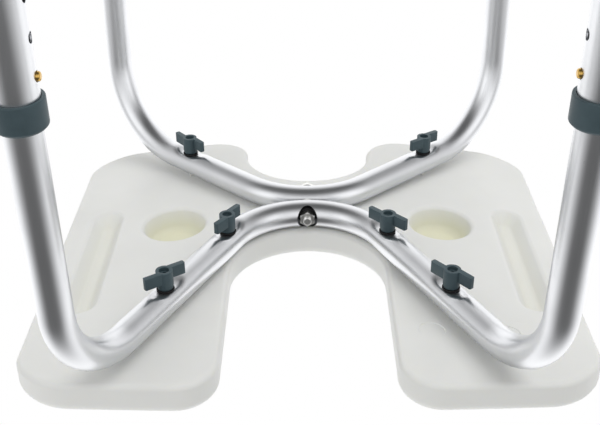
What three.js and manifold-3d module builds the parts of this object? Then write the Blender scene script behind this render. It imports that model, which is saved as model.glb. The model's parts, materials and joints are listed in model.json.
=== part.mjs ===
// Shower stool: a hollow plastic seat on two bent aluminium tubes, with height-adjustable legs.
// Millimetres, +Z up, standing on its feet. The origin is the floor point under the middle of its box.
// The deep cut-out of the seat faces -Y, which is the front.
import * as THREE from "three";
import { mergeVertices } from "three/addons/utils/BufferGeometryUtils.js";
import Module from "manifold-3d";

const wasm = await Module();
wasm.setup();

// Driving dimensions
const GAP = 0.3; // kept between touching pieces
const BOX_SHIFT_Y = 44.6; // puts the origin under the middle of the whole box

const SEAT_UNDERSIDE = 460; // height of the seat's underside over the middle of the frame
const SEAT_HALF_WIDTH = 232;
const SEAT_FRONT = -251; // front edge, measured from the crossing of the tubes
const SEAT_BACK = 175;
const SEAT_THICKNESS = 28;
const SEAT_WALL = 3;
const SEAT_DISH = 0.00025; // rise of the seat per square millimetre of distance from its centre line
const EDGE_BOW = 0.0004; // set-back of the front and back edges, in the same way
const SEAT_CORNER = 46;
const FRONT_CUT = { halfWidth: 69, apex: -24, mouthRadius: 34 };
const BACK_CUT = { halfWidth: 64, apex: 78, mouthRadius: 40 };
const WELL = { x: 127, y: -4, mouthRadius: 30, floorRadius: 23, depth: 22 };
const SLOT = { x: 194, front: -142, back: 28, mouthHalfWidth: 15, floorHalfWidth: 5, depth: 13 };
const BLOW_HOLE = { x: 0, y: 50, radius: 3 };

const TUBE_RADIUS = 12.5;
const TUBE_WALL = 1.2;
const TUBE_SIDES = 16;
const FRAMES = {
  front: {
    side: -1, // towards -Y
    arcRadius: 75.5,
    arcAngle: 1.113,
    run: 167,
    bendRadius: 70.5,
    splay: 0.05,
    studs: [91.7, 192.5], // distances along the tube from the middle
    wingHeadings: { left: [47, 51], right: [125, 145] }, // degrees about +Z
  },
  back: {
    side: 1,
    arcRadius: 80,
    arcAngle: 0.742,
    run: 115.5,
    bendRadius: 85.5,
    splay: 0.07,
    studs: [149],
    wingHeadings: { left: [145], right: [51] },
  },
};
const CROSSING_OFFSET = 14; // centre line of each tube from the plane between them
const FLAT_DEPTH = 3.5; // how deep the tube is pressed flat under a knob
const FLAT_HALF_LENGTH = 9;
const FLAT_RAMP = 15;

const HOLE_PITCH = 24;
const HOLE_COUNT = 7;
const BUTTON_AT = 176; // along the straight leg from the end of its bend
const LEG_END = 202; // where the inner tube stops
const EXTENSION_START = 146;
const EXTENSION_RADIUS = 14.2;
const EXTENSION_BORE = 13;
const COLLAR = { start: 143, length: 20, radius: 16.8, chamfer: 2, edge: 0.4 };
const BUTTON_RADIUS = 3.1;
const BUTTON_HOLE = 3.6;
const BUTTON_PROUD = 2.2; // how far its dome stands out of the leg
const SPRING = {
  pivot: BUTTON_AT - 50, // along the leg
  tip: BUTTON_AT + 8,
  split: BUTTON_AT - 46, // where the moving arm starts
  splitGap: 2,
  rootReach: 1.2, // distance of each arm from the leg's axis at the pivot
  buttonReach: 8.3, // and at the button
  width: 8,
  thickness: 0.9,
};
const FOOT = { height: 34, topRadius: 17.3, soleRadius: 19.5, plug: 8 };

const STUD_RADIUS = 3;
const STUD_HOLE = 3.5;
const STUD_IN_SEAT = 14;
const STUD_BELOW_FLAT = 11;
const KNOB = { bossRadius: 7, baseRadius: 6.2, height: 16.5, span: 39, wingHeight: 10, wing: 4.8, offset: 2.6 };
const KNOB_RECESS = { radius: 4.3, depth: 3, web: 2 }; // round recess in the knob's end
const WASHER = { radius: 7.4, thickness: 1.2 };

const BOLT_RADIUS = 4;
const BOLT_HOLE = 4.4;
const ACCESS_HOLE = 10.5;
const NUT = { acrossFlats: 13, thickness: 6.5 };
const BOLT_HEAD = 5.3;
const BOLT_CHAMFER = 0.6;
const BOLT_PAST_MIDDLE = 17; // how far the bolt reaches past the front tube's centre line
const NUT_PAST_MIDDLE = 6.5; // and where the nut bears on its bush
const BUSH = { radius: 8.4, behindMiddle: 6.2, noseRadius: 6.2, nose: 2.5 };
const CENTRE_WASHER_RADIUS = 8;
const SPACER_RADIUS = 7;

const frameHeight = SEAT_UNDERSIDE - GAP - TUBE_RADIUS;

const MATERIALS = {
  seat: { color: 0xeeeeea, roughness: 0.5, metalness: 0 },
  tube: { color: 0xc8cacc, roughness: 0.32, metalness: 1 },
  grey: { color: 0x5a6b74, roughness: 0.45, metalness: 0 },
  rubber: { color: 0x4a4d50, roughness: 0.85, metalness: 0 },
  brass: { color: 0xb08a3c, roughness: 0.3, metalness: 1 },
  steel: { color: 0xb8b8b8, roughness: 0.25, metalness: 1 },
  black: { color: 0x17181a, roughness: 0.7, metalness: 0 },
};

const stool = new THREE.Group();
stool.position.y = BOX_SHIFT_Y;

function addPart(parent, name, finish, geometry) {
  const mesh = new THREE.Mesh(geometry, new THREE.MeshStandardMaterial(MATERIALS[finish]));
  mesh.name = name;
  parent.add(mesh);
  return mesh;
}

// Joins and cuts

function toSolid(geometry) {
  const plain = geometry.clone();
  plain.deleteAttribute("normal");
  plain.deleteAttribute("uv");
  const merged = mergeVertices(plain, 1e-4);
  const mesh = new wasm.Mesh({
    numProp: 3,
    vertProperties: new Float32Array(merged.attributes.position.array),
    triVerts: new Uint32Array(merged.index.array),
  });
  return new wasm.Manifold(mesh);
}

function toGeometry(solid) {
  const mesh = solid.getMesh();
  const geometry = new THREE.BufferGeometry();
  geometry.setAttribute("position", new THREE.BufferAttribute(mesh.vertProperties, 3));
  geometry.setIndex(new THREE.BufferAttribute(mesh.triVerts, 1));
  geometry.computeVertexNormals();
  return geometry;
}

function cut(solid, tools) {
  return tools.reduce((rest, tool) => rest.subtract(toSolid(tool)), solid);
}

// A cylinder from one point to another
function rod(from, to, radius, sides = 16) {
  const along = new THREE.Vector3().subVectors(to, from);
  const geometry = new THREE.CylinderGeometry(radius, radius, along.length(), sides);
  const turn = new THREE.Quaternion().setFromUnitVectors(
    new THREE.Vector3(0, 1, 0),
    along.clone().normalize(),
  );
  geometry.applyQuaternion(turn);
  const middle = new THREE.Vector3().addVectors(from, to).multiplyScalar(0.5);
  return geometry.translate(middle.x, middle.y, middle.z);
}

// A profile of [radius, z] pairs turned round the Z axis
function turned(profile, sides = 16) {
  const points = profile.map(([radius, z]) => new THREE.Vector2(radius, z));
  return new THREE.LatheGeometry(points, sides).rotateX(Math.PI / 2);
}

// A closed ring: the profile's last point returns to its first
function ring(profile, sides = 16) {
  return turned([...profile, profile[0]], sides);
}

function washerGeometry(inner, outer, thickness) {
  return ring([[inner, 0], [outer, 0], [outer, thickness], [inner, thickness]]);
}

// Seat

const dishRise = (x) => SEAT_DISH * x * x;
const edgeBow = (x) => EDGE_BOW * x * x;

// Plan outline, shrunk all round by inset
function seatOutline(inset) {
  const halfWidth = SEAT_HALF_WIDTH - inset;
  const shape = new THREE.Shape();
  const steps = 6;
  const right = [];
  const addArc = (cx, cy, radius, from, to) => {
    for (let i = 0; i <= steps; i++) {
      const angle = THREE.MathUtils.degToRad(from + ((to - from) * i) / steps);
      right.push([cx + radius * Math.cos(angle), cy + radius * Math.sin(angle)]);
    }
  };
  // Right half, from the front cut-out's apex round to the back cut-out's apex
  const frontRadius = FRONT_CUT.halfWidth + inset;
  addArc(0, FRONT_CUT.apex - FRONT_CUT.halfWidth, frontRadius, 90, 0);
  const frontMouth = FRONT_CUT.mouthRadius - inset;
  const frontMouthX = FRONT_CUT.halfWidth + FRONT_CUT.mouthRadius;
  const frontMouthY = SEAT_FRONT + edgeBow(frontMouthX) + FRONT_CUT.mouthRadius;
  addArc(frontMouthX, frontMouthY, frontMouth, 180, 270);
  const corner = SEAT_CORNER - inset;
  const cornerX = SEAT_HALF_WIDTH - SEAT_CORNER;
  addArc(cornerX, SEAT_FRONT + edgeBow(cornerX) + SEAT_CORNER, corner, 278, 360);
  addArc(cornerX, SEAT_BACK - edgeBow(cornerX) - SEAT_CORNER, corner, 0, 82);
  const backMouth = BACK_CUT.mouthRadius - inset;
  const backMouthX = BACK_CUT.halfWidth + BACK_CUT.mouthRadius;
  addArc(backMouthX, SEAT_BACK - edgeBow(backMouthX) - BACK_CUT.mouthRadius, backMouth, 90, 180);
  addArc(0, BACK_CUT.apex + BACK_CUT.halfWidth, BACK_CUT.halfWidth + inset, 360, 270);
  const left = right.map(([x, y]) => [-x, y]).reverse().slice(1, -1);
  [...right, ...left].forEach(([x, y], i) => (i ? shape.lineTo(x, y) : shape.moveTo(x, y)));
  return shape;
}

// The dished slab, before it is cut to the outline
function seatSlab(inset) {
  const halfSteps = 7;
  const halfWidth = SEAT_HALF_WIDTH + 5;
  const section = new THREE.Shape();
  for (let i = -halfSteps; i <= halfSteps; i++) {
    const x = (halfWidth * i) / halfSteps;
    const z = SEAT_UNDERSIDE + dishRise(x) + inset;
    if (i === -halfSteps) section.moveTo(x, z);
    else section.lineTo(x, z);
  }
  for (let i = halfSteps; i >= -halfSteps; i--) {
    const x = (halfWidth * i) / halfSteps;
    section.lineTo(x, SEAT_UNDERSIDE + SEAT_THICKNESS + dishRise(x) - inset);
  }
  const depth = SEAT_BACK - SEAT_FRONT + 20;
  const slab = new THREE.ExtrudeGeometry(section, { depth, bevelEnabled: false });
  return slab.rotateX(Math.PI / 2).translate(0, SEAT_BACK + 10, 0);
}

// Round tapered well in the underside, grown by the wall on the inside of the panel
function wellTool(side, grow) {
  const bottom = SEAT_UNDERSIDE + dishRise(WELL.x) - 10;
  const floor = SEAT_UNDERSIDE + dishRise(WELL.x) + WELL.depth + grow;
  const tool = turned(
    [[0, bottom], [WELL.mouthRadius + 3 + grow, bottom], [WELL.floorRadius + grow, floor], [0, floor]],
    20,
  );
  return tool.translate(side * WELL.x, WELL.y, 0);
}

// Long tapered recess in the underside
function slotTool(side, grow) {
  const bottom = SEAT_UNDERSIDE + dishRise(SLOT.x) - 8;
  const floor = SEAT_UNDERSIDE + dishRise(SLOT.x) + SLOT.depth + grow;
  const flare = ((SLOT.mouthHalfWidth - SLOT.floorHalfWidth) * 8) / SLOT.depth;
  const positions = [];
  const steps = 6;
  const ringAt = (halfWidth, z) => {
    const points = [];
    const ends = [[SLOT.back - SLOT.mouthHalfWidth, 0], [SLOT.front + SLOT.mouthHalfWidth, 180]];
    for (const [end, start] of ends) {
      for (let i = 0; i <= steps; i++) {
        const angle = THREE.MathUtils.degToRad(start + (180 * i) / steps);
        points.push([side * SLOT.x + halfWidth * Math.cos(angle), end + halfWidth * Math.sin(angle), z]);
      }
    }
    return points;
  };
  const low = ringAt(SLOT.mouthHalfWidth + flare + grow, bottom);
  const high = ringAt(SLOT.floorHalfWidth + grow, floor);
  const count = low.length;
  const lowMiddle = [side * SLOT.x, (SLOT.front + SLOT.back) / 2, bottom];
  const highMiddle = [side * SLOT.x, (SLOT.front + SLOT.back) / 2, floor];
  for (let i = 0; i < count; i++) {
    const j = (i + 1) % count;
    positions.push(...low[i], ...low[j], ...high[j], ...low[i], ...high[j], ...high[i]);
    positions.push(...lowMiddle, ...low[j], ...low[i], ...highMiddle, ...high[i], ...high[j]);
  }
  const geometry = new THREE.BufferGeometry();
  geometry.setAttribute("position", new THREE.Float32BufferAttribute(positions, 3));
  return geometry;
}

function seatBody(inset) {
  const prism = new THREE.ExtrudeGeometry(seatOutline(inset), { depth: 100, bevelEnabled: false });
  const body = toSolid(seatSlab(inset)).intersect(toSolid(prism.translate(0, 0, SEAT_UNDERSIDE - 30)));
  const recesses = [-1, 1].flatMap((side) => [wellTool(side, inset), slotTool(side, inset)]);
  return cut(body, recesses);
}

function studSites() {
  const sites = [];
  for (const [place, frame] of Object.entries(FRAMES)) {
    frame.studs.forEach((distance, index) => {
      for (const [hand, side] of [["left", -1], ["right", 1]]) {
        const spot = pathPoint(frame, distance).point;
        const suffix = frame.studs.length > 1 ? ["_inner", "_outer"][index] : "";
        sites.push({
          name: `${place}_${hand}${suffix}`,
          position: new THREE.Vector3(side * spot.x, spot.y, 0),
          heading: frame.wingHeadings[hand][index],
        });
      }
    });
  }
  return sites;
}

function buildSeat() {
  const hole = (x, y, radius, top) =>
    rod(new THREE.Vector3(x, y, SEAT_UNDERSIDE - 5), new THREE.Vector3(x, y, top), radius, 12);
  const bosses = studSites().map(({ position }) =>
    hole(position.x, position.y, STUD_RADIUS + 5, SEAT_UNDERSIDE + 60),
  );
  const cavity = cut(seatBody(SEAT_WALL), bosses);
  const studHoles = studSites().map(({ position }) => {
    const top = SEAT_UNDERSIDE + dishRise(position.x) + STUD_IN_SEAT + GAP;
    return hole(position.x, position.y, STUD_RADIUS + GAP, top);
  });
  const blowHole = hole(BLOW_HOLE.x, BLOW_HOLE.y, BLOW_HOLE.radius, SEAT_UNDERSIDE + SEAT_THICKNESS / 2);
  const shell = cut(seatBody(0).subtract(cavity), [...studHoles, blowHole]);
  addPart(stool, "seat", "seat", toGeometry(shell));
}

// Frame tubes

// Point and direction on the right half of a tube's centre line, by distance from its middle
function pathPoint(frame, distance) {
  const { side, arcRadius, arcAngle, run, bendRadius } = frame;
  const arcLength = arcRadius * arcAngle;
  const arcAt = (angle) =>
    new THREE.Vector3(
      arcRadius * Math.sin(angle),
      side * (CROSSING_OFFSET + arcRadius * (1 - Math.cos(angle))),
      frameHeight,
    );
  const headingAt = (angle) => new THREE.Vector3(Math.cos(angle), side * Math.sin(angle), 0);
  if (distance <= arcLength) {
    const angle = distance / arcRadius;
    return { point: arcAt(angle), tangent: headingAt(angle) };
  }
  const diagonal = headingAt(arcAngle);
  const along = Math.min(distance - arcLength, run);
  const point = arcAt(arcAngle).addScaledVector(diagonal, along);
  if (distance <= arcLength + run) return { point, tangent: diagonal };
  const leg = legDirection(frame);
  const turn = Math.acos(diagonal.dot(leg));
  const inward = leg.clone().addScaledVector(diagonal, -diagonal.dot(leg)).normalize();
  const angle = Math.min((distance - arcLength - run) / bendRadius, turn);
  point.addScaledVector(diagonal, bendRadius * Math.sin(angle));
  point.addScaledVector(inward, bendRadius * (1 - Math.cos(angle)));
  const tangent = diagonal.clone().multiplyScalar(Math.cos(angle)).addScaledVector(inward, Math.sin(angle));
  const rest = distance - arcLength - run - bendRadius * turn;
  if (rest > 0) point.addScaledVector(leg, rest);
  return { point, tangent };
}

function legDirection({ side, splay }) {
  return new THREE.Vector3(0, side * Math.sin(splay), -Math.cos(splay));
}

// Distance from the middle of the tube to the end of its bend
function straightStart(frame) {
  const heading = new THREE.Vector3(Math.cos(frame.arcAngle), frame.side * Math.sin(frame.arcAngle), 0);
  const turn = Math.acos(heading.dot(legDirection(frame)));
  return frame.arcRadius * frame.arcAngle + frame.run + frame.bendRadius * turn;
}

// Distances of the tube's rings from its middle: few on straight runs, more in bends and flats
function ringDistances(frame) {
  const arcLength = frame.arcRadius * frame.arcAngle;
  const bendStart = arcLength + frame.run;
  const bendEnd = straightStart(frame);
  const distances = [];
  for (let i = 0; i <= 4; i++) distances.push((arcLength * i) / 4);
  for (let i = 0; i <= 6; i++) distances.push(bendStart + ((bendEnd - bendStart) * i) / 6);
  for (const stud of frame.studs) {
    for (const step of [FLAT_HALF_LENGTH, FLAT_HALF_LENGTH + FLAT_RAMP]) {
      distances.push(stud - step, stud + step);
    }
  }
  distances.push(bendEnd + LEG_END);
  distances.sort((a, b) => a - b);
  return distances.filter((distance, i) => i === 0 || distance - distances[i - 1] > 2);
}

// The whole centre line from the left leg's end to the right one's, stepping through chosen rings
class TubeLine extends THREE.Curve {
  constructor(frame) {
    super();
    const right = ringDistances(frame).map((distance) => pathPoint(frame, distance));
    const mirror = new THREE.Vector3(-1, 1, 1);
    const left = right.slice(1).reverse().map(({ point, tangent }) => ({
      point: point.clone().multiply(mirror),
      tangent: tangent.clone().multiply(mirror).negate(),
    }));
    this.rings = [...left, ...right];
    this.steps = this.rings.length - 1;
  }

  ringAt(u) {
    return this.rings[Math.round(u * this.steps)];
  }

  getPoint(u) {
    return this.ringAt(u).point.clone();
  }

  getPointAt(u) {
    return this.getPoint(u);
  }

  getTangentAt(u) {
    return this.ringAt(u).tangent.clone();
  }
}

function circle(radius, sides) {
  const points = [];
  for (let i = 0; i < sides; i++) {
    const angle = (2 * Math.PI * i) / sides;
    points.push(new THREE.Vector2(radius * Math.cos(angle), radius * Math.sin(angle)));
  }
  return points;
}

// Presses the tube flat from below round each stud
function pressFlats(geometry, frame) {
  const position = geometry.attributes.position;
  const middleRadius = TUBE_RADIUS - TUBE_WALL / 2;
  const spots = frame.studs.map((distance) => pathPoint(frame, distance));
  for (let i = 0; i < position.count; i++) {
    const x = Math.abs(position.getX(i));
    const y = position.getY(i);
    const z = position.getZ(i) - frameHeight;
    for (const { point, tangent } of spots) {
      const dx = x - point.x;
      const dy = y - point.y;
      const along = Math.abs(dx * tangent.x + dy * tangent.y);
      const across = dx * tangent.y - dy * tangent.x;
      if (Math.abs(across) > TUBE_RADIUS + 3 || along > FLAT_HALF_LENGTH + FLAT_RAMP) continue;
      const ramp = Math.max(0, (along - FLAT_HALF_LENGTH) / FLAT_RAMP);
      const depth = FLAT_DEPTH * (0.5 + 0.5 * Math.cos(Math.PI * ramp));
      const isOuter = Math.hypot(across, z) > middleRadius;
      const lowest = -(isOuter ? TUBE_RADIUS : TUBE_RADIUS - TUBE_WALL) + depth;
      if (z < lowest) position.setZ(i, frameHeight + lowest);
    }
  }
}

function buildFrameTube(place) {
  const frame = FRAMES[place];
  const section = new THREE.Shape(circle(TUBE_RADIUS, TUBE_SIDES));
  section.holes.push(new THREE.Path(circle(TUBE_RADIUS - TUBE_WALL, TUBE_SIDES)));
  const line = new TubeLine(frame);
  const sweep = new THREE.ExtrudeGeometry(section, { extrudePath: line, steps: line.steps });
  pressFlats(sweep, frame);
  const holes = [];
  for (const distance of frame.studs) {
    for (const side of [-1, 1]) {
      const { point } = pathPoint(frame, distance);
      const low = new THREE.Vector3(side * point.x, point.y, frameHeight - 20);
      const high = new THREE.Vector3(side * point.x, point.y, frameHeight + 20);
      holes.push(rod(low, high, STUD_HOLE, 12));
    }
  }
  const { point: button } = pathPoint(frame, straightStart(frame) + BUTTON_AT);
  for (const side of [-1, 1]) {
    const middle = new THREE.Vector3(side * button.x, button.y, button.z);
    const outside = middle.clone().setX(side * (button.x - 20));
    holes.push(rod(middle, outside, BUTTON_HOLE, 12));
  }
  const middle = new THREE.Vector3(0, frame.side * CROSSING_OFFSET, frameHeight);
  const far = middle.clone().setY(frame.side * (CROSSING_OFFSET + 20));
  const near = middle.clone().setY(0);
  holes.push(rod(near, far, BOLT_HOLE));
  if (place === "front") holes.push(rod(middle, far, ACCESS_HOLE, 20));
  addPart(stool, `frame_tube_${place}`, "tube", toGeometry(cut(toSolid(sweep), holes)));
}

// Centre fastening, along Y through both tubes

function buildCentreBolt() {
  const washerStart = CROSSING_OFFSET + TUBE_RADIUS + 3 * GAP; // clear of the curve of the tube
  const headStart = washerStart + WASHER.thickness + GAP;
  const nutStart = -CROSSING_OFFSET - NUT_PAST_MIDDLE;
  const boltEnd = -CROSSING_OFFSET - BOLT_PAST_MIDDLE;
  const alongY = (geometry, y) => geometry.rotateX(-Math.PI / 2).translate(0, y, frameHeight);
  const hexRadius = NUT.acrossFlats / Math.sqrt(3);
  const shank = turned([
    [0, boltEnd],
    [BOLT_RADIUS - BOLT_CHAMFER, boltEnd],
    [BOLT_RADIUS, boltEnd + BOLT_CHAMFER],
    [BOLT_RADIUS, headStart + 1],
    [0, headStart + 1],
  ]);
  const head = turned([[0, headStart], [hexRadius, headStart], [hexRadius, headStart + BOLT_HEAD],
    [0, headStart + BOLT_HEAD]], 6);
  const bolt = toGeometry(toSolid(shank).add(toSolid(head)));
  addPart(stool, "centre_bolt", "steel", alongY(bolt, 0));
  const nutSolid = cut(
    toSolid(turned([[0, 0], [hexRadius, 0], [hexRadius, NUT.thickness], [0, NUT.thickness]], 6)),
    [rod(new THREE.Vector3(0, 0, -1), new THREE.Vector3(0, 0, NUT.thickness + 1), BOLT_RADIUS + GAP)],
  );
  addPart(stool, "centre_nut", "steel", alongY(toGeometry(nutSolid), nutStart - NUT.thickness));
  const bushStart = nutStart + GAP;
  const shoulder = BUSH.behindMiddle - CROSSING_OFFSET;
  const noseEnd = shoulder + BUSH.nose;
  const bush = ring([
    [BOLT_HOLE, bushStart],
    [BUSH.radius, bushStart],
    [BUSH.radius, shoulder],
    [BUSH.noseRadius, shoulder],
    [BUSH.noseRadius, noseEnd],
    [BOLT_HOLE, noseEnd],
  ]);
  addPart(stool, "tube_bush", "black", alongY(bush, 0));
  const washer = washerGeometry(BOLT_HOLE, CENTRE_WASHER_RADIUS, WASHER.thickness);
  addPart(stool, "centre_washer", "steel", alongY(washer, washerStart));
  const spacerThickness = 2 * (CROSSING_OFFSET - TUBE_RADIUS - GAP);
  const spacer = washerGeometry(BOLT_HOLE, SPACER_RADIUS, spacerThickness);
  addPart(stool, "tube_spacer", "seat", alongY(spacer, -spacerThickness / 2));
}

// Knobs, studs and washers under the tubes; each site's local +Z points down

function knobGeometry() {
  const { bossRadius, baseRadius, height, span, wingHeight, wing, offset } = KNOB;
  const boss = turned([[0, 0], [baseRadius, 0], [bossRadius, 3], [bossRadius, height - 0.8],
    [bossRadius - 0.8, height], [0, height]]);
  const wings = [-1, 1].map((side) => {
    const plan = new THREE.Shape();
    const half = wing / 2;
    const tip = span / 2;
    plan.moveTo(2, offset - half);
    plan.lineTo(tip - 1.2, offset - half + 0.4);
    plan.quadraticCurveTo(tip, offset - half + 0.4, tip, offset);
    plan.quadraticCurveTo(tip, offset + half, tip - 1.2, offset + half);
    plan.lineTo(2, offset + half);
    const options = { depth: wingHeight, bevelEnabled: false, curveSegments: 2 };
    const blade = new THREE.ExtrudeGeometry(plan, options);
    blade.translate(0, 0, height - wingHeight);
    return side > 0 ? blade : blade.rotateZ(Math.PI);
  });
  const joined = wings.reduce((rest, blade) => rest.add(toSolid(blade)), toSolid(boss));
  const origin = new THREE.Vector3(0, 0, -1);
  const recessFloor = height - KNOB_RECESS.depth;
  return toGeometry(cut(joined, [
    rod(origin, new THREE.Vector3(0, 0, recessFloor - KNOB_RECESS.web), STUD_RADIUS + GAP, 12),
    rod(new THREE.Vector3(0, 0, recessFloor), new THREE.Vector3(0, 0, height + 1), KNOB_RECESS.radius, 12),
  ]));
}

function buildKnobs() {
  const flat = frameHeight - TUBE_RADIUS + FLAT_DEPTH;
  for (const { name, position, heading } of studSites()) {
    const site = new THREE.Group();
    site.position.set(position.x, position.y, flat);
    site.rotation.set(Math.PI, 0, 0);
    stool.add(site);
    const washer = washerGeometry(STUD_RADIUS + GAP, WASHER.radius, WASHER.thickness);
    addPart(site, `knob_washer_${name}`, "black", washer.translate(0, 0, GAP));
    const knob = addPart(site, `wing_knob_${name}`, "grey", knobGeometry());
    knob.position.z = WASHER.thickness + 2 * GAP;
    knob.rotation.z = -THREE.MathUtils.degToRad(heading);
    const inSeat = SEAT_UNDERSIDE + dishRise(position.x) + STUD_IN_SEAT - flat;
    const studTop = new THREE.Vector3(0, 0, -inSeat);
    const studEnd = new THREE.Vector3(0, 0, STUD_BELOW_FLAT);
    addPart(site, `seat_stud_${name}`, "steel", rod(studTop, studEnd, STUD_RADIUS, 12));
  }
}

// Legs: each leg group's local -Z runs down the leg from the end of the bend

function buildExtension(leg, name, inward, end) {
  const tube = ring([
    [EXTENSION_BORE, -EXTENSION_START],
    [EXTENSION_BORE, -end],
    [EXTENSION_RADIUS, -end],
    [EXTENSION_RADIUS, -EXTENSION_START],
  ]);
  const holes = [];
  for (let i = 0; i < HOLE_COUNT; i++) {
    const z = -(BUTTON_AT + i * HOLE_PITCH);
    holes.push(rod(new THREE.Vector3(0, 0, z), new THREE.Vector3(inward * 20, 0, z), BUTTON_HOLE, 8));
  }
  addPart(leg, `leg_extension_${name}`, "tube", toGeometry(cut(toSolid(tube), holes)));
}

function buildCollar(leg, name) {
  const top = -COLLAR.start;
  const shoulder = -(EXTENSION_START - GAP);
  const end = top - COLLAR.length;
  const bore = EXTENSION_RADIUS + GAP;
  const profile = [
    [EXTENSION_BORE, top],
    [EXTENSION_BORE, shoulder],
    [bore, shoulder],
    [bore, end],
    [COLLAR.radius - COLLAR.edge, end],
    [COLLAR.radius, end + COLLAR.edge],
    [COLLAR.radius, top - COLLAR.chamfer],
    [COLLAR.radius - COLLAR.chamfer, top],
  ];
  addPart(leg, `collar_${name}`, "grey", ring(profile, 20));
}

// Rubber tip whose sole is level with the floor although the leg leans
function buildFoot(leg, name, floorDistance, lean) {
  const sole = -floorDistance;
  const top = sole + FOOT.height;
  const inside = sole + FOOT.plug;
  const bore = EXTENSION_RADIUS + GAP;
  const geometry = turned([[0, sole], [FOOT.soleRadius, sole], [FOOT.soleRadius, sole + 6],
    [FOOT.topRadius, top - 10], [FOOT.topRadius, top], [bore, top], [bore, inside], [0, inside]], 20);
  const position = geometry.attributes.position;
  for (let i = 0; i < position.count; i++) {
    if (position.getZ(i) > sole + 0.01) continue;
    position.setZ(i, sole - position.getY(i) * Math.tan(lean));
  }
  addPart(leg, `foot_${name}`, "rubber", geometry);
}

// Brass button with a domed end, on the free arm of the spring clip
function buildSnapButton(leg, name, inward) {
  const base = springReach(BUTTON_AT + BUTTON_RADIUS) + SPRING.thickness / 2 + GAP;
  const top = EXTENSION_RADIUS + BUTTON_PROUD;
  const profile = [
    [0, base],
    [BUTTON_RADIUS, base],
    [BUTTON_RADIUS, top - 1.6],
    [BUTTON_RADIUS * 0.75, top - 0.5],
    [BUTTON_RADIUS * 0.35, top],
    [0, top],
  ];
  const button = turned(profile, 12).rotateY((inward * Math.PI) / 2).translate(0, 0, -BUTTON_AT);
  addPart(leg, `snap_button_${name}`, "brass", button);
}

// Distance of a spring arm's middle from the leg's axis
function springReach(distance) {
  const share = (distance - SPRING.pivot) / (BUTTON_AT - SPRING.pivot);
  return SPRING.rootReach + share * (SPRING.buttonReach - SPRING.rootReach);
}

// A strip of spring steel through points given as [distance from the axis, distance down the leg]
function springStrip(points, inward) {
  const half = SPRING.thickness / 2;
  const outline = [];
  const back = [];
  points.forEach(([reach, distance], i) => {
    const before = points[Math.max(i - 1, 0)];
    const after = points[Math.min(i + 1, points.length - 1)];
    const along = new THREE.Vector2(after[0] - before[0], after[1] - before[1]).normalize();
    outline.push([reach + along.y * half, distance - along.x * half]);
    back.unshift([reach - along.y * half, distance + along.x * half]);
  });
  const shape = new THREE.Shape([...outline, ...back].map(([x, y]) => new THREE.Vector2(inward * x, -y)));
  const strip = new THREE.ExtrudeGeometry(shape, { depth: SPRING.width, bevelEnabled: false });
  return strip.translate(0, 0, -SPRING.width / 2).rotateX(Math.PI / 2);
}

function buildSpring(leg, name, inward) {
  const { pivot, tip, split, splitGap, rootReach } = SPRING;
  const arm = [[springReach(split), split], [springReach(tip), tip]];
  addPart(leg, `spring_arm_${name}`, "steel", springStrip(arm, inward));
  const baseEnd = split - splitGap;
  const bend = [[rootReach, pivot - 2], [0, pivot - 3.4], [-rootReach, pivot - 2]];
  const fixedArm = [[-springReach(split), split], [-springReach(tip), tip]];
  const loop = [[springReach(baseEnd), baseEnd], ...bend, ...fixedArm];
  addPart(leg, `spring_base_${name}`, "steel", springStrip(loop, inward));
}

function buildLegs() {
  for (const [place, frame] of Object.entries(FRAMES)) {
    for (const [hand, side] of [["left", -1], ["right", 1]]) {
      const start = pathPoint(frame, straightStart(frame)).point;
      const name = `${place}_${hand}`;
      const leg = new THREE.Group();
      leg.position.set(side * start.x, start.y, start.z);
      const lean = frame.side * frame.splay;
      leg.rotation.x = lean;
      stool.add(leg);
      const floorDistance = start.z / Math.cos(lean);
      buildExtension(leg, name, -side, floorDistance - FOOT.plug - GAP);
      buildCollar(leg, name);
      buildFoot(leg, name, floorDistance, lean);
      buildSnapButton(leg, name, -side);
      buildSpring(leg, name, -side);
    }
  }
}

buildSeat();
buildFrameTube("front");
buildFrameTube("back");
buildCentreBolt();
buildKnobs();
buildLegs();

export default stool;
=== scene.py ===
"""Shower stool: finished pieces, materials, light and camera round the fixed frame."""

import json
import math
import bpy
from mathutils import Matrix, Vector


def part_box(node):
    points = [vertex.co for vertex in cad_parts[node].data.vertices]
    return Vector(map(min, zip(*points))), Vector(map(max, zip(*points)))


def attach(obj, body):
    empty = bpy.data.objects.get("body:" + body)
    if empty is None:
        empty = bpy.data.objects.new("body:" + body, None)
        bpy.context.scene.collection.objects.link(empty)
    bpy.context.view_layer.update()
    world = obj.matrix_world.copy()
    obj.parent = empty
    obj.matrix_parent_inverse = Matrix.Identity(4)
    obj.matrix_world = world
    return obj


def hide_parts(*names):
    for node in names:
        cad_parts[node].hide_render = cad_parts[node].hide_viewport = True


bl_info = {
    "name": "Shower Stool Finisher",
    "version": (1, 0, 0),
    "blender": (4, 5, 0),
    "location": "View3D > Sidebar > Stool",
    "description": "Builds the moulded seat, bent tubes, wing knobs and leg fittings of a shower stool",
    "category": "Object",
}

import bmesh
import bpy
from bpy.props import FloatProperty, FloatVectorProperty, IntProperty, PointerProperty
from mathutils import Matrix, Vector

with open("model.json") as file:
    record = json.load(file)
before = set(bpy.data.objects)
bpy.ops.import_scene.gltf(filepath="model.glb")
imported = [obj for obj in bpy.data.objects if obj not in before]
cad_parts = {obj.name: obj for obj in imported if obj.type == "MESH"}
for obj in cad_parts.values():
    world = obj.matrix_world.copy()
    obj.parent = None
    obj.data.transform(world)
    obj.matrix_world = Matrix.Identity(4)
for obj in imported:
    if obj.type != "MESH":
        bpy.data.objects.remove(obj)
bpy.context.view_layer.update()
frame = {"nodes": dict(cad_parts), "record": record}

MM = 0.001
GAP = 0.3 * MM  # kept between touching parts
FULL_TURN = 2 * math.pi

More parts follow.
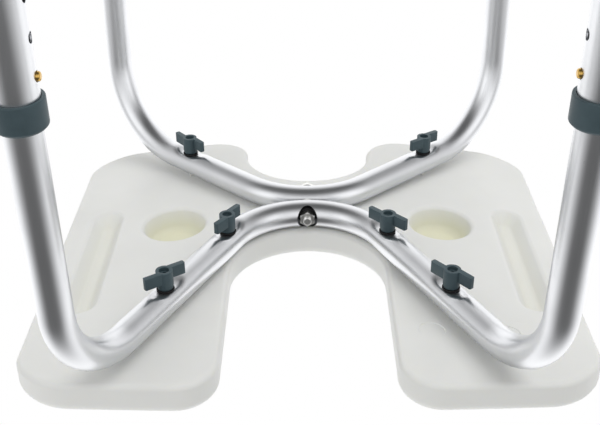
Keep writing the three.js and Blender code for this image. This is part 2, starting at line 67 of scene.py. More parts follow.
# Depthwise lengths are measured from the crossing of the tubes, which stands this far behind the origin
BOX_SHIFT = 44.6 * MM
LEG_NAMES = [f"{place}_{hand}" for place in ("front", "back") for hand in ("left", "right")]
KNOB_NAMES = sorted(name[len("wing_knob_"):] for name in frame["nodes"] if name.startswith("wing_knob_"))


# Settings


def length(name, description, millimetres):
    return FloatProperty(name=name, description=description, default=millimetres * MM, unit="LENGTH")


def tint(name, description, value):
    return FloatVectorProperty(name=name, description=description, default=value, size=3, subtype="COLOR")


def turn(name, description, degrees):
    return FloatProperty(name=name, description=description, default=math.radians(degrees), unit="ROTATION")


class StoolSeatSettings(bpy.types.PropertyGroup):
    underside: length("Underside height", "Height of the underside at the centre line", 460)
    half_width: length("Half width", "From the centre line to each end", 232)
    front: length("Front edge", "Front edge, from the crossing of the tubes", -251)
    back: length("Back edge", "Back edge, from the crossing of the tubes", 175)
    thickness: length("Thickness", "Depth of the hollow panel", 28)
    corner: length("Corner radius", "Radius of the outer corners", 46)
    dish: FloatProperty(name="Dish", description="Rise per square metre from the centre line", default=0.25)
    bow: FloatProperty(name="Edge bow", description="Set-back of the long edges in the same way", default=0.4)
    front_cut: length("Front cut-out", "Half width of the front cut-out", 69)
    front_apex: length("Front apex", "Deepest point of the front cut-out", -24)
    front_mouth: length("Front mouth", "Radius where the front cut-out opens", 34)
    back_cut: length("Back cut-out", "Half width of the back cut-out", 64)
    back_apex: length("Back apex", "Deepest point of the back cut-out", 78)
    back_mouth: length("Back mouth", "Radius where the back cut-out opens", 40)
    under_round: length("Underside rounding", "Radius of the edge round the underside", 5)
    top_round: length("Top rounding", "Radius of the edge round the sitting face", 10)
    well_x: length("Well place", "Distance of each well from the centre line", 127)
    well_y: length("Well depthwise", "Place of each well, front to back", -4)
    well_mouth: length("Well mouth", "Radius of a well at the underside", 30)
    well_floor: length("Well floor", "Radius of a well at its floor", 23.3)
    well_depth: length("Well depth", "Depth of a well", 22)
    slot_x: length("Slot place", "Distance of each slot from the centre line", 194)
    slot_front: length("Slot front end", "Front end of the slots", -142)
    slot_back: length("Slot back end", "Back end of the slots", 28)
    slot_mouth: length("Slot mouth", "Half width of a slot at the underside", 15)
    slot_floor: length("Slot floor", "Half width of a slot at its floor", 5)
    slot_depth: length("Slot depth", "Depth of a slot", 13)
    well_rim: length("Well rim", "Rounding of a well's mouth", 3.5)
    well_toe: length("Well toe", "Rounding of a well's floor", 6)
    slot_rim: length("Slot rim", "Rounding of a slot's mouth", 2.5)
    slot_toe: length("Slot toe", "Rounding of a slot's floor", 3)
    mark_radius: length("Mark radius", "Radius of the round mould marks", 11.5)
    mark_depth: length("Mark depth", "Depth of the mould marks", 0.5)
    mark_y: length("Mark place", "Place of the mould marks, front to back", -178)
    mark_inner: length("Inner mark", "Distance of the inner mark from the centre line", -99)
    mark_outer: length("Outer mark", "Distance of the outer mark from the centre line", -160)
    crease: length("Crease", "Place of the moulding line, front to back", -160)
    crease_half: length("Crease half width", "Half width of the moulding line", 1.2)
    crease_depth: length("Crease depth", "Depth of the moulding line", 0.35)
    crease_start: length("Crease start", "Distance from the centre line where it starts", 100)
    strip: length("Strip", "Width of the strips that take up the dish", 10.2)


class StoolTubeSettings(bpy.types.PropertyGroup):
    radius: length("Tube radius", "Outer radius of the frame tubes", 12.5)
    wall: length("Wall", "Thickness of the tube wall", 1.2)
    offset: length("Crossing offset", "Each centre line from the plane between the tubes", 14)
    height: length("Height", "Height of the centre lines over the floor", 447.2)
    flat_depth: length("Flat depth", "How deep a tube is pressed flat under a knob", 3.5)
    flat_half: length("Flat half length", "Half length of the flat part", 8)
    flat_ramp: length("Flat ramp", "Length over which the flat fades out", 14)
    flat_blend: length("Flat blend", "Height over which a flat rounds into the tube's side", 3)
    leg_end: length("Leg end", "Where the tube stops, from the end of its bend", 202)
    access_hole: length("Access hole", "Radius of the hole that takes the nut", 11.2)
    sides: IntProperty(name="Sides", description="Facets round a tube", default=48)


class StoolFittingSettings(bpy.types.PropertyGroup):
    pitch: length("Hole pitch", "Distance between the height holes", 24)
    holes: IntProperty(name="Holes", description="Height holes in each leg", default=7)
    button_at: length("Button place", "Snap button, from the end of the bend", 176)
    extension_start: length("Extension start", "Top end of the outer leg tube", 146)
    extension_radius: length("Extension radius", "Outer radius of the outer leg tube", 14.2)
    extension_bore: length("Extension bore", "Inner radius of the outer leg tube", 13)
    collar_start: length("Collar start", "Top end of the collar", 143)
    collar_length: length("Collar length", "Length of the collar", 20)
    collar_radius: length("Collar radius", "Outer radius of the collar", 16.8)
    foot_height: length("Foot height", "Height of a rubber foot", 34)
    foot_top: length("Foot top radius", "Radius of the foot's sleeve", 17.3)
    foot_sole: length("Sole radius", "Radius of the foot's sole", 19.5)
    foot_plug: length("Plug", "Rubber between the tube's end and the floor", 8)
    button_radius: length("Button radius", "Radius of a snap button", 3.1)
    button_base: length("Button base", "Inner end of a snap button, from the leg's axis", 9.2)
    button_hole: length("Button hole", "Radius of the height holes", 3.6)
    button_proud: length("Button proud", "How far a snap button stands out of the leg", 2.2)
    knob_boss: length("Boss radius", "Radius of a knob's boss", 7)
    knob_height: length("Knob height", "Height of a knob", 16.5)
    knob_bore: length("Knob bore", "Radius of the bore for the stud", 3.3)
    knob_recess: length("Knob recess", "Radius of the round recess in a knob's end", 4.3)
    knob_recess_depth: length("Knob recess depth", "Depth of that recess", 3)
    knob_span: length("Knob span", "Tip to tip across the wings", 39)
    wing_height: length("Wing height", "Height of each wing", 10)
    wing: length("Wing thickness", "Thickness of each wing", 4.8)
    wing_offset: length("Wing offset", "How far each wing stands off the boss's middle", 2.6)


class StoolFasteningSettings(bpy.types.PropertyGroup):
    across: length("Across flats", "Width of the nut and the bolt's head", 13)
    head: length("Head", "Thickness of the bolt's head", 5.3)
    turned_off: length("Turned corners", "Height over which the corners are turned off", 0.9)
    bolt_radius: length("Bolt radius", "Outer radius of the bolt", 4)
    pitch: length("Pitch", "Distance between two thread ridges", 1.25)
    thread: length("Thread length", "Length of bolt with thread ridges", 22)
    thread_depth: length("Thread depth", "Depth of the thread", 0.6)
    point: length("Point", "Length and depth left for the bolt's chamfered end", 0.9)
    nut_bore: length("Nut bore", "Radius of the nut's bore", 4.3)
    ring_bore: length("Ring bore", "Radius of the bore in the washer and the spacer", 4.5)
    bush_bore: length("Bush bore", "Radius of the bush's bore", 4.4)
    bush_nose: length("Bush nose", "Length of the bush's narrow nose", 2.5)
    bush_neck: length("Bush neck", "Radius of the bush's narrow nose", 6.2)


class StoolFinishSettings(bpy.types.PropertyGroup):
    seat: tint("Seat", "Off-white moulded plastic", (0.86, 0.865, 0.84))
    # Warm painted shade for the wells and slots, standing in for shade and light through the plastic
    seat_painted_shade: tint("Seat in recesses", "The same plastic where light comes through it", (0.80, 0.79, 0.60))
    tube: tint("Tube", "Satin anodised aluminium", (0.74, 0.75, 0.77))
    grey: tint("Fittings", "Blue-grey nylon", (0.050, 0.078, 0.090))
    rubber: tint("Feet", "Grey rubber", (0.085, 0.09, 0.096))
    black: tint("Washers", "Black rubber", (0.010, 0.010, 0.011))
    brass: tint("Buttons", "Turned brass", (0.66, 0.42, 0.12))
    steel: tint("Steel", "Bright zinc plating", (0.86, 0.86, 0.84))


class StoolStageSettings(bpy.types.PropertyGroup):
    lens: FloatProperty(name="Lens", description="Focal length of the camera", default=57.99, unit="CAMERA")
    place: FloatVectorProperty(name="Camera place", description="Where the camera stands, below the seat",
                               default=(0.00283, -0.7589, -0.00393), subtype="TRANSLATION")
    tilt: turn("Tilt", "Camera turn about X", -119.72)
    roll: turn("Roll", "Camera turn about Y", -0.3535)
    heading: turn("Heading", "Camera turn about Z", 179.904)
    floor_radius: length("Floor radius", "Radius of the round floor", 40000)
    floor: tint("Floor", "Pale floor", (0.86, 0.86, 0.85))


SETTINGS = {
    "stool_seat": StoolSeatSettings,
    "stool_tube": StoolTubeSettings,
    "stool_fitting": StoolFittingSettings,
    "stool_fastening": StoolFasteningSettings,
    "stool_finish": StoolFinishSettings,
    "stool_stage": StoolStageSettings,
}

# Bends of the tubes: side is towards the front or the back, flats are places along the tube from its
# middle, lengths are in metres and angles in radians
BENDS = {
    "front": dict(
        side=-1, arc_radius=75.5 * MM, arc_angle=1.113, run=167 * MM, bend_radius=70.5 * MM, splay=0.05,
        flats=(91.7 * MM, 192.5 * MM),
    ),
    "back": dict(
        side=1, arc_radius=80 * MM, arc_angle=0.742, run=115.5 * MM, bend_radius=85.5 * MM, splay=0.07,
        flats=(149 * MM,),
    ),
}


# Shader building


class Value:
    """A number socket; arithmetic on it adds Math nodes."""

    def __init__(self, finish, socket):
        self.finish = finish
        self.socket = socket

    def maths(self, operation, *numbers):
        made = self.finish.node("ShaderNodeMath", {"operation": operation}, dict(enumerate(numbers)))
        return Value(self.finish, made.outputs[0])

    def __add__(self, other):
        return self.maths("ADD", self, other)

    def __radd__(self, other):
        return self.maths("ADD", other, self)

    def __sub__(self, other):
        return self.maths("SUBTRACT", self, other)

    def __rsub__(self, other):
        return self.maths("SUBTRACT", other, self)

    def __mul__(self, other):
        return self.maths("MULTIPLY", self, other)

    def __rmul__(self, other):
        return self.maths("MULTIPLY", other, self)

    def __abs__(self):
        return self.maths("ABSOLUTE", self)

    def __pow__(self, other):
        return self.maths("POWER", self, other)


class Finish:
    """One node tree, with the few calls that the materials and the world need."""

    def __init__(self, owner):
        self.tree = owner.node_tree
        self.tree.nodes.clear()

    def node(self, kind, settings=None, inputs=None):
        made = self.tree.nodes.new(kind)
        for name, setting in (settings or {}).items():
            setattr(made, name, setting)
        for name, given in (inputs or {}).items():
            self.feed(made.inputs[name], given)
        return made

    def feed(self, socket, given):
        if isinstance(given, Value):
            self.tree.links.new(given.socket, socket)
        elif isinstance(given, bpy.types.NodeSocket):
            self.tree.links.new(given, socket)
        elif socket.type == "RGBA":
            socket.default_value = (*tuple(given)[:3], 1)
        else:
            socket.default_value = given

    def value(self, made, output=0):
        return Value(self, made.outputs[output])

    def noise(self, vector, scale, detail=3.0, roughness=0.5):
        inputs = {"Vector": vector, "Scale": scale, "Detail": detail, "Roughness": roughness}
        return self.value(self.node("ShaderNodeTexNoise", None, inputs))

    def remap(self, value, low, high, to_low=0.0, to_high=1.0):
        inputs = {"Value": value, "From Min": low, "From Max": high, "To Min": to_low, "To Max": to_high}
        return self.value(self.node("ShaderNodeMapRange", {"clamp": True}, inputs))

    def mix(self, factor, first, second):
        made = self.node("ShaderNodeMix", {"data_type": "RGBA"}, {0: factor, 6: first, 7: second})
        return made.outputs[2]

    def bump(self, height, distance, strength=1.0):
        inputs = {"Height": height, "Distance": distance, "Strength": strength}
        return self.node("ShaderNodeBump", None, inputs).outputs[0]

    def stretched(self, source, scale):
        inputs = {"Vector": source, "Scale": scale}
        return self.node("ShaderNodeMapping", {"vector_type": "POINT"}, inputs).outputs[0]

    def attribute(self, name, output):
        return self.node("ShaderNodeAttribute", {"attribute_name": name}).outputs[output]

    def place(self):
        return self.node("ShaderNodeTexCoord").outputs["Object"]

    def surface(self, inputs):
        shader = self.node("ShaderNodeBsdfPrincipled", None, inputs)
        self.node("ShaderNodeOutputMaterial", None, {"Surface": shader.outputs[0]})


def new_material(name):
    """A material under a name of its own, apart from the plain ones that come with the frame."""
    material = bpy.data.materials.new(f"stool_{name}")
    material.use_nodes = True
    return material, Finish(material)


def scaled(colour, factor):
    return tuple(min(1.0, channel * factor) for channel in colour)


def seat_plastic(colours):
    """Blow-moulded polyethylene: fine grain, faint flow mottling, and a warm painted shade where the recesses
    are deep, standing in for shade and light through the plastic.
    """
    material, finish = new_material("seat_plastic")
    place = finish.place()
    mottle = finish.noise(place, 14, 3, 0.55)
    grain = finish.noise(place, 950, 2, 0.6)
    # The recess attribute carries the painted shade: a warm tint in the wells and slots that stands in for
    # shade and light through the plastic
    deep = finish.value(finish.node("ShaderNodeAttribute", {"attribute_name": "recess"}), "Fac")
    base = finish.mix(finish.remap(mottle, 0.3, 0.7), colours.seat, scaled(colours.seat, 0.965))
    colour = finish.mix(deep, base, colours.seat_painted_shade)
    finish.surface({
        "Base Color": colour,
        "Roughness": finish.remap(mottle, 0.25, 0.75, 0.40, 0.50)
        + finish.remap(grain, 0.3, 0.7, -0.03, 0.03),
        "Normal": finish.bump(grain, 0.05 * MM, 0.35),
        "Subsurface Weight": 0.12,
        "Subsurface Radius": (9 * MM, 8 * MM, 5 * MM),
        "Subsurface Scale": 1.0,
        "IOR": 1.5,
    })
    return material


def tube_aluminium(colours):
    """Satin anodised drawn tube: fine lines along it, and slow changes in gloss."""
    material, finish = new_material("tube_aluminium")
    unbent = finish.attribute("unbent", "Vector")
    lines = finish.noise(finish.stretched(unbent, (9, 900, 900)), 1.0, 4, 0.6)
    cloud = finish.noise(unbent, 26, 3, 0.5)
    colour = finish.mix(finish.remap(cloud, 0.3, 0.7), colours.tube, scaled(colours.tube, 0.93))
    finish.surface({
        "Base Color": colour,
        "Metallic": 1.0,
        "Roughness": finish.remap(lines, 0.3, 0.7, 0.29, 0.32) + finish.remap(cloud, 0.3, 0.7, -0.02, 0.02),
        "Normal": finish.bump(lines, 0.01 * MM, 0.06),
    })
    return material


def moulded_plastic(name, colour, low, high, grain_scale):
    """Matt moulded part: fine grain, and a little dust-lightened variation."""
    material, finish = new_material(name)
    place = finish.place()
    cloud = finish.noise(place, 90, 3, 0.6)
    grain = finish.noise(place, grain_scale, 3, 0.6)
    finish.surface({
        "Base Color": finish.mix(finish.remap(cloud, 0.3, 0.7), colour, scaled(colour, 1.18)),
        "Roughness": finish.remap(cloud, 0.3, 0.7, low, high),
        "Normal": finish.bump(grain, 0.06 * MM, 0.4),
        "Specular IOR Level": 0.3,
        "IOR": 1.5,
    })
    return material


def turned_metal(name, colour, low, high):
    """Bright metal with tool marks and small changes in gloss."""
    material, finish = new_material(name)
    place = finish.place()
    cloud = finish.noise(place, 220, 3, 0.6)
    marks = finish.noise(finish.stretched(place, (300, 300, 2400)), 1.0, 2, 0.5)
    finish.surface({
        "Base Color": finish.mix(finish.remap(cloud, 0.3, 0.7), colour, scaled(colour, 0.82)),
        "Metallic": 1.0,
        "Roughness": finish.remap(cloud, 0.3, 0.7, low, high),
        "Normal": finish.bump(marks, 0.02 * MM, 0.3),
    })
    return material


def make_finishes(colours):
    return {
        "seat_plastic": seat_plastic(colours),
        "tube_aluminium": tube_aluminium(colours),
        "grey_plastic": moulded_plastic("grey_plastic", colours.grey, 0.42, 0.52, 1600),
        "foot_rubber": moulded_plastic("foot_rubber", colours.rubber, 0.72, 0.85, 1100),
        "black_rubber": moulded_plastic("black_rubber", colours.black, 0.6, 0.75, 1300),
        "button_brass": turned_metal("button_brass", colours.brass, 0.18, 0.28),
        "zinc_steel": turned_metal("zinc_steel", colours.steel, 0.26, 0.38),
        "spring_steel": turned_metal("spring_steel", scaled(colours.steel, 0.75), 0.25, 0.4),
    }


def finish_named(slot):
    return bpy.data.materials[f"stool_{slot}"]


# Modelling helpers


def finish_piece(bm, name, slot, stands_for, body="root", sharp=35):
    """Turns a bmesh into a smooth-shaded piece that rides on a body and stands for CAD nodes."""
    bmesh.ops.remove_doubles(bm, verts=bm.verts, dist=0.002 * MM)
    bmesh.ops.recalc_face_normals(bm, faces=bm.faces)
    mesh = bpy.data.meshes.new(name)
    bm.to_mesh(mesh)
    bm.free()
    return dress(mesh, name, slot, stands_for, body, sharp)


def dress(mesh, name, slot, stands_for, body, sharp):
    mesh.shade_smooth()
    mesh.set_sharp_from_angle(angle=math.radians(sharp))
    mesh.materials.clear()
    mesh.materials.append(finish_named(slot))
    piece = bpy.data.objects.new(name, mesh)
    bpy.context.scene.collection.objects.link(piece)
    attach(piece, body)
    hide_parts(*stands_for)
    return piece


def combined(bm, operation, cutters):
    """The bmesh after a boolean with each cutter bmesh; all of them are used up."""
    objects = []
    for part in [bm, *cutters]:
        mesh = bpy.data.meshes.new("work")
        part.to_mesh(mesh)
        part.free()
        item = bpy.data.objects.new("work", mesh)
        bpy.context.scene.collection.objects.link(item)
        objects.append(item)
    base = objects[0]
    for cutter in objects[1:]:
        modifier = base.modifiers.new("join", "BOOLEAN")
        modifier.operation = operation
        modifier.solver = "EXACT"
        modifier.object = cutter
    graph = bpy.context.evaluated_depsgraph_get()
    result = bmesh.new()
    result.from_object(base, graph)
    for item in objects:
        mesh = item.data
        bpy.data.objects.remove(item)
        bpy.data.meshes.remove(mesh)
    return result


def cylinder(radius, low, high, sides=32, centre=(0, 0), direction="Z"):
    """A closed cylinder along a main axis, from low to high on it."""
    bm = bmesh.new()
    turns = {"X": Matrix.Rotation(math.pi / 2, 4, "Y"), "Y": Matrix.Rotation(-math.pi / 2, 4, "X")}
    lift = Matrix.Translation((*centre, (low + high) / 2))
    matrix = turns.get(direction, Matrix.Identity(4)) @ lift
    bmesh.ops.create_cone(bm, cap_ends=True, segments=sides, radius1=radius, radius2=radius,
                          depth=high - low, matrix=matrix)
    return bm


def profile_of(points, rounds=None, segments=4):
    """A bmesh of edges through [radius, z] points in the XZ plane, with some corners rounded."""
    bm = bmesh.new()
    verts = [bm.verts.new((radius, 0, z)) for radius, z in points]
    for pair in zip(verts, verts[1:]):
        bm.edges.new(pair)
    for index, corner in [(index, verts[index]) for index in (rounds or {})]:
        bmesh.ops.bevel(bm, geom=[corner], offset=rounds[index], offset_type="OFFSET", segments=segments,
                        profile=0.5, affect="VERTICES", clamp_overlap=False, material=-1)
    return bm


def absorb(bm, part):
    """Adds a bmesh to another and uses it up."""
    mesh = bpy.data.meshes.new("work")
    part.to_mesh(mesh)
    part.free()
    bm.from_mesh(mesh)
    bpy.data.meshes.remove(mesh)


def spun(points, rounds=None, sides=48, segments=4):
    """A profile turned fully round Z."""
    bm = profile_of(points, rounds, segments)
    bmesh.ops.remove_doubles(bm, verts=bm.verts, dist=0.002 * MM)
    bmesh.ops.spin(bm, geom=bm.verts[:] + bm.edges[:], cent=(0, 0, 0), axis=(0, 0, 1), dvec=(0, 0, 0),
                   angle=FULL_TURN, steps=sides, use_merge=True, use_duplicate=False)
    bmesh.ops.remove_doubles(bm, verts=bm.verts, dist=0.005 * MM)
    bmesh.ops.recalc_face_normals(bm, faces=bm.faces)
    return bm


def bevel_rims(bm, angle, width, segments):
    """Rounds every edge whose faces meet at more than the angle."""
    limit = math.radians(angle)
    rims = [edge for edge in bm.edges if len(edge.link_faces) == 2 and edge.calc_face_angle(0) > limit]
    bmesh.ops.bevel(bm, geom=rims, offset=width, offset_type="OFFSET", segments=segments, profile=0.5,
                    affect="EDGES", clamp_overlap=True, material=-1)


def between(value, low, high):
    return max(0.0, min(1.0, (value - low) / (high - low)))


def eased(value):
    return value * value * (3 - 2 * value)


# Seat


def seat_slab(seat):
    """The flat hollow panel with its rims rounded, before recesses and dish."""
    bm = bmesh.new()
    right = [
        (seat.back_cut, seat.back_apex, seat.back_cut - 0.02 * MM),
        (seat.back_cut, seat.back, seat.back_mouth),
        (seat.half_width, seat.back, seat.corner),
        (seat.half_width, seat.front, seat.corner),
        (seat.front_cut, seat.front, seat.front_mouth),
        (seat.front_cut, seat.front_apex, seat.front_cut - 0.02 * MM),
    ]
    corners = right + [(-x, y, radius) for x, y, radius in reversed(right)]
    verts = [bm.verts.new((x, y, seat.underside)) for x, y, _ in corners]
    bm.faces.new(verts)
    for vert, (_, _, radius) in zip(verts, corners):
        bmesh.ops.bevel(bm, geom=[vert], offset=radius, offset_type="OFFSET", segments=20, profile=0.5,
                        affect="VERTICES", clamp_overlap=False, material=-1)
    bmesh.ops.remove_doubles(bm, verts=bm.verts, dist=0.1 * MM)
    raised = bmesh.ops.extrude_face_region(bm, geom=bm.faces[:])
    top = [item for item in raised["geom"] if isinstance(item, bmesh.types.BMVert)]
    bmesh.ops.translate(bm, verts=top, vec=(0, 0, seat.thickness))
    bmesh.ops.recalc_face_normals(bm, faces=bm.faces)
    upper = seat.underside + seat.thickness
    for height, radius in ((seat.underside, seat.under_round), (upper, seat.top_round)):
        rim = [edge for edge in bm.edges if all(abs(vert.co.z - height) < 0.01 * MM for vert in edge.verts)]
        bmesh.ops.bevel(bm, geom=rim, offset=radius, offset_type="OFFSET", segments=7, profile=0.5,
                        affect="EDGES", clamp_overlap=False, material=-1)
    return bm


def recess_profile(place, mouth, floor, depth, rim, toe, seat):
    """Half section of a recess, standing in the XZ plane at a place on the underside."""
    low = seat.underside
    points = [(mouth + rim * 1.5, low), (mouth, low), (floor, low + depth), (0, low + depth)]
    part = profile_of(points, {1: rim, 2: toe}, 6)
    bmesh.ops.translate(part, verts=part.verts, vec=(*place, 0))
    return part


def sweep(bm, edges, centre, angle, steps):
    """Turns edges about an upright axis, and gives back the far ones."""
    verts = list({vert for edge in edges for vert in edge.verts})
    made = bmesh.ops.spin(bm, geom=verts + edges, cent=(*centre, 0), axis=(0, 0, 1), dvec=(0, 0, 0),
                          angle=angle, steps=steps, use_merge=False, use_duplicate=False)
    return [item for item in made["geom_last"] if isinstance(item, bmesh.types.BMEdge)]


def shifted(bm, edges, vector):
    """Draws edges out along a vector, and gives back the far ones."""
    made = bmesh.ops.extrude_edge_only(bm, edges=edges)["geom"]
    verts = {item for item in made if isinstance(item, bmesh.types.BMVert)}
    bmesh.ops.translate(bm, verts=list(verts), vec=vector)
    drawn = [item for item in made if isinstance(item, bmesh.types.BMEdge)]
    return [edge for edge in drawn if edge.verts[0] in verts and edge.verts[1] in verts]


def add_well(bm, seat, side):
    centre = (side * seat.well_x, seat.well_y)
    part = recess_profile(
        centre, seat.well_mouth, seat.well_floor, seat.well_depth, seat.well_rim, seat.well_toe, seat
    )
    sweep(part, part.edges[:], centre, FULL_TURN, 64)
    absorb(bm, part)


def add_slot(bm, seat, side):
    x = side * seat.slot_x
    front = seat.slot_front + seat.slot_mouth
    back = seat.slot_back - seat.slot_mouth
    part = recess_profile(
        (x, front), seat.slot_mouth, seat.slot_floor, seat.slot_depth, seat.slot_rim, seat.slot_toe, seat
    )
    edges = sweep(part, part.edges[:], (x, front), -math.pi, 24)
    edges = shifted(part, edges, (0, back - front, 0))
    edges = sweep(part, edges, (x, back), -math.pi, 24)
    shifted(part, edges, (0, front - back, 0))
    absorb(bm, part)


def add_mark(bm, x, seat):
    """A shallow round mould mark with a plain middle."""
    low = seat.underside
    floor = low + seat.mark_depth
    edge = seat.mark_radius
    centre = (x, seat.mark_y)
    part = profile_of([(edge, low), (edge - 0.5 * MM, low), (edge - 0.9 * MM, floor), (0, floor)])
    bmesh.ops.translate(part, verts=part.verts, vec=(*centre, 0))
    sweep(part, part.edges[:], centre, FULL_TURN, 40)
    absorb(bm, part)


def bow_share(y, seat):
    """How much a point takes of the bow of the long edges: all of it there, none in the middle."""
    reach = 95 * MM
    front = 1 - between(y, seat.front, seat.front + reach)
    back = between(y, seat.back - reach, seat.back)
    return eased(front) - eased(back)


def split(bm, point, normal):
    """Adds a row of edges where a plane crosses the mesh."""
    everything = bm.verts[:] + bm.edges[:] + bm.faces[:]
    bmesh.ops.bisect_plane(bm, geom=everything, dist=0.001 * MM, plane_co=point, plane_no=normal)


def build_seat(seat):
    """The moulded seat, flat at first, then dished, with a painted shade marked where its recesses are deep.
    """
    bm = seat_slab(seat)
    under = seat.underside
    floor_face = min(bm.faces, key=lambda face: face.calc_center_median().z)
    bmesh.ops.delete(bm, geom=[floor_face], context="FACES_ONLY")
    for side in (-1, 1):
        add_well(bm, seat, side)
        add_slot(bm, seat, side)
    add_mark(bm, seat.mark_inner, seat)
    add_mark(bm, seat.mark_outer, seat)
    bmesh.ops.remove_doubles(bm, verts=bm.verts, dist=0.02 * MM)
    open_edges = [edge for edge in bm.edges if edge.is_boundary]
    bmesh.ops.triangle_fill(bm, edges=open_edges, use_beauty=True, use_dissolve=False, normal=(0, 0, -1))
    strips = int(seat.half_width / seat.strip)
    for step in range(-strips, strips + 1):
        split(bm, (step * seat.strip, 0, 0), (1, 0, 0))
    for shift in (-seat.crease_half, 0, seat.crease_half):
        split(bm, (0, seat.crease + shift, 0), (0, 1, 0))
    # The recess layer holds the painted shade: it grows with depth in the wells and stays faint in the slots
    recess = bm.verts.layers.float.new("recess")
    for vert in bm.verts:
        x, y, z = vert.co
        lift = z - under
        in_well = math.hypot(abs(x) - seat.well_x, y - seat.well_y) < seat.well_mouth
        in_slot = abs(abs(x) - seat.slot_x) < seat.slot_mouth and seat.slot_front < y < seat.slot_back
        if lift < seat.well_depth + 0.1 * MM and in_well:
            vert[recess] = 0.85 * between(lift, 2 * MM, seat.well_depth) ** 0.8
        elif lift < seat.slot_depth + 0.1 * MM and in_slot:
            vert[recess] = 0.2 * between(lift, 1 * MM, seat.slot_depth)
        if lift < 0.01 * MM and abs(y - seat.crease) < 0.01 * MM and abs(x) > seat.crease_start:
            vert.co.z += seat.crease_depth
    for vert in bm.verts:
        x = vert.co.x
        vert.co.y += seat.bow * x * x * bow_share(vert.co.y, seat) + BOX_SHIFT
        vert.co.z += seat.dish * x * x
    piece = finish_piece(bm, "seat_shell", "seat_plastic", ["seat"], sharp=50)
    weights = piece.modifiers.new("even shading", "WEIGHTED_NORMAL")
    weights.keep_sharp = True
    weights.weight = 80
    return piece


# Frame tubes


def about(point, angle, axis):
    """A turn about an axis through a point."""
    return Matrix.Translation(point) @ Matrix.Rotation(angle, 4, axis) @ Matrix.Translation(-Vector(point))


class Route:
    """Centre line of the right half of a frame tube, by distance from its middle."""

    def __init__(self, place, tube):
        bend = BENDS[place]
        self.side = bend["side"]
        self.splay = bend["splay"]
        self.arc_radius = bend["arc_radius"]
        self.arc_angle = bend["arc_angle"]
        self.arc_length = self.arc_radius * self.arc_angle
        self.run = bend["run"]
        self.bend_radius = bend["bend_radius"]
        self.start = Matrix.Translation((0, self.side * tube.offset + BOX_SHIFT, tube.height))
        self.arc_centre = Vector((0, self.side * (tube.offset + self.arc_radius) + BOX_SHIFT, tube.height))
        heading = Vector((math.cos(self.arc_angle), self.side * math.sin(self.arc_angle), 0))
        leg = Vector((0, self.side * math.sin(self.splay), -math.cos(self.splay)))
        self.heading = heading
        self.leg = leg
        self.turn = math.acos(heading.dot(leg))
        self.axis = heading.cross(leg).normalized()
        self.straight_start = self.arc_length + self.run + self.bend_radius * self.turn
        corner = (self.on_arc(self.arc_angle)).translation + heading * self.run
        inward = (leg - heading * heading.dot(leg)).normalized()
        self.corner_centre = corner + inward * self.bend_radius

    def on_arc(self, angle):
        return about(self.arc_centre, self.side * angle, "Z") @ self.start

    def at(self, distance):
        """Place of the ring that was at this distance along the straight tube."""
        if distance < self.arc_length:
            return self.on_arc(distance / self.arc_radius)
        along = min(distance - self.arc_length, self.run)
        here = Matrix.Translation(self.heading * along) @ self.on_arc(self.arc_angle)
        beyond = distance - self.arc_length - self.run
        if beyond <= 0:
            return here
        angle = min(beyond / self.bend_radius, self.turn)
        here = about(self.corner_centre, angle, self.axis) @ here
        return Matrix.Translation(self.leg * max(0, distance - self.straight_start)) @ here


def press(point, place, tube):
    """Presses a point of the straight tube flat below each knob."""
    for middle in BENDS[place]["flats"]:
        away = between(abs(abs(point.x) - middle), tube.flat_half, tube.flat_half + tube.flat_ramp)
        if away >= 1:
            continue
        pressed = 0.5 + 0.5 * math.cos(math.pi * away)
        lowest = tube.flat_depth * pressed - math.hypot(point.y, point.z)
        # blends the flat into the round side over this height
        soft = tube.flat_blend * pressed
        if soft > 0:
            kept = min(1, max(0, 0.5 + 0.5 * (point.z - lowest) / soft))
            point.z = lowest + (point.z - lowest) * kept + soft * kept * (1 - kept)
    return point


def build_frame_tube(place, tube):
    route = Route(place, tube)
    reach = route.straight_start + tube.leg_end
    bm = bmesh.new()
    bmesh.ops.create_circle(bm, segments=tube.sides, radius=tube.radius,
                            matrix=Matrix.Translation((-reach, 0, 0)) @ Matrix.Rotation(math.pi / 2, 4, "Y"))
    steps = 2 * round(reach / (3.5 * MM))
    edges = bm.edges[:]
    for _ in range(steps):
        edges = shifted(bm, edges, (2 * reach / steps, 0, 0))
    bmesh.ops.recalc_face_normals(bm, faces=bm.faces)
    outward = sum(face.normal.dot(face.calc_center_median() * Vector((0, 1, 1))) for face in bm.faces)
    if outward < 0:
        bmesh.ops.reverse_faces(bm, faces=bm.faces)
    bmesh.ops.solidify(bm, geom=bm.faces[:], thickness=tube.wall)
    if place == "front":
        hole = cylinder(tube.access_hole, -20 * MM, -1 * MM, 48, direction="Y")
        bm = combined(bm, "DIFFERENCE", [hole])
    unbent = bm.verts.layers.float_vector.new("unbent")
    for vert in bm.verts:
        vert[unbent] = vert.co
        point = press(vert.co.copy(), place, tube)
        side = -1 if point.x < 0 else 1
        spot = route.at(abs(point.x)) @ Vector((0, point.y, point.z))
        vert.co = (side * spot.x, spot.y, spot.z)
    return finish_piece(bm, f"bent_tube_{place}", "tube_aluminium", [f"frame_tube_{place}"], sharp=40)


# Leg fittings, in the leg's own place: -Z runs down the leg from the end of the bend


def leg_place(name, tube):
    place, hand = name.split("_")
    route = Route(place, tube)
    origin = route.at(route.straight_start).translation
    side = -1 if hand == "left" else 1
    spot = Matrix.Translation((side * origin.x, origin.y, origin.z))
    return spot @ Matrix.Rotation(route.side * route.splay, 4, "X"), route.side * route.splay, -side


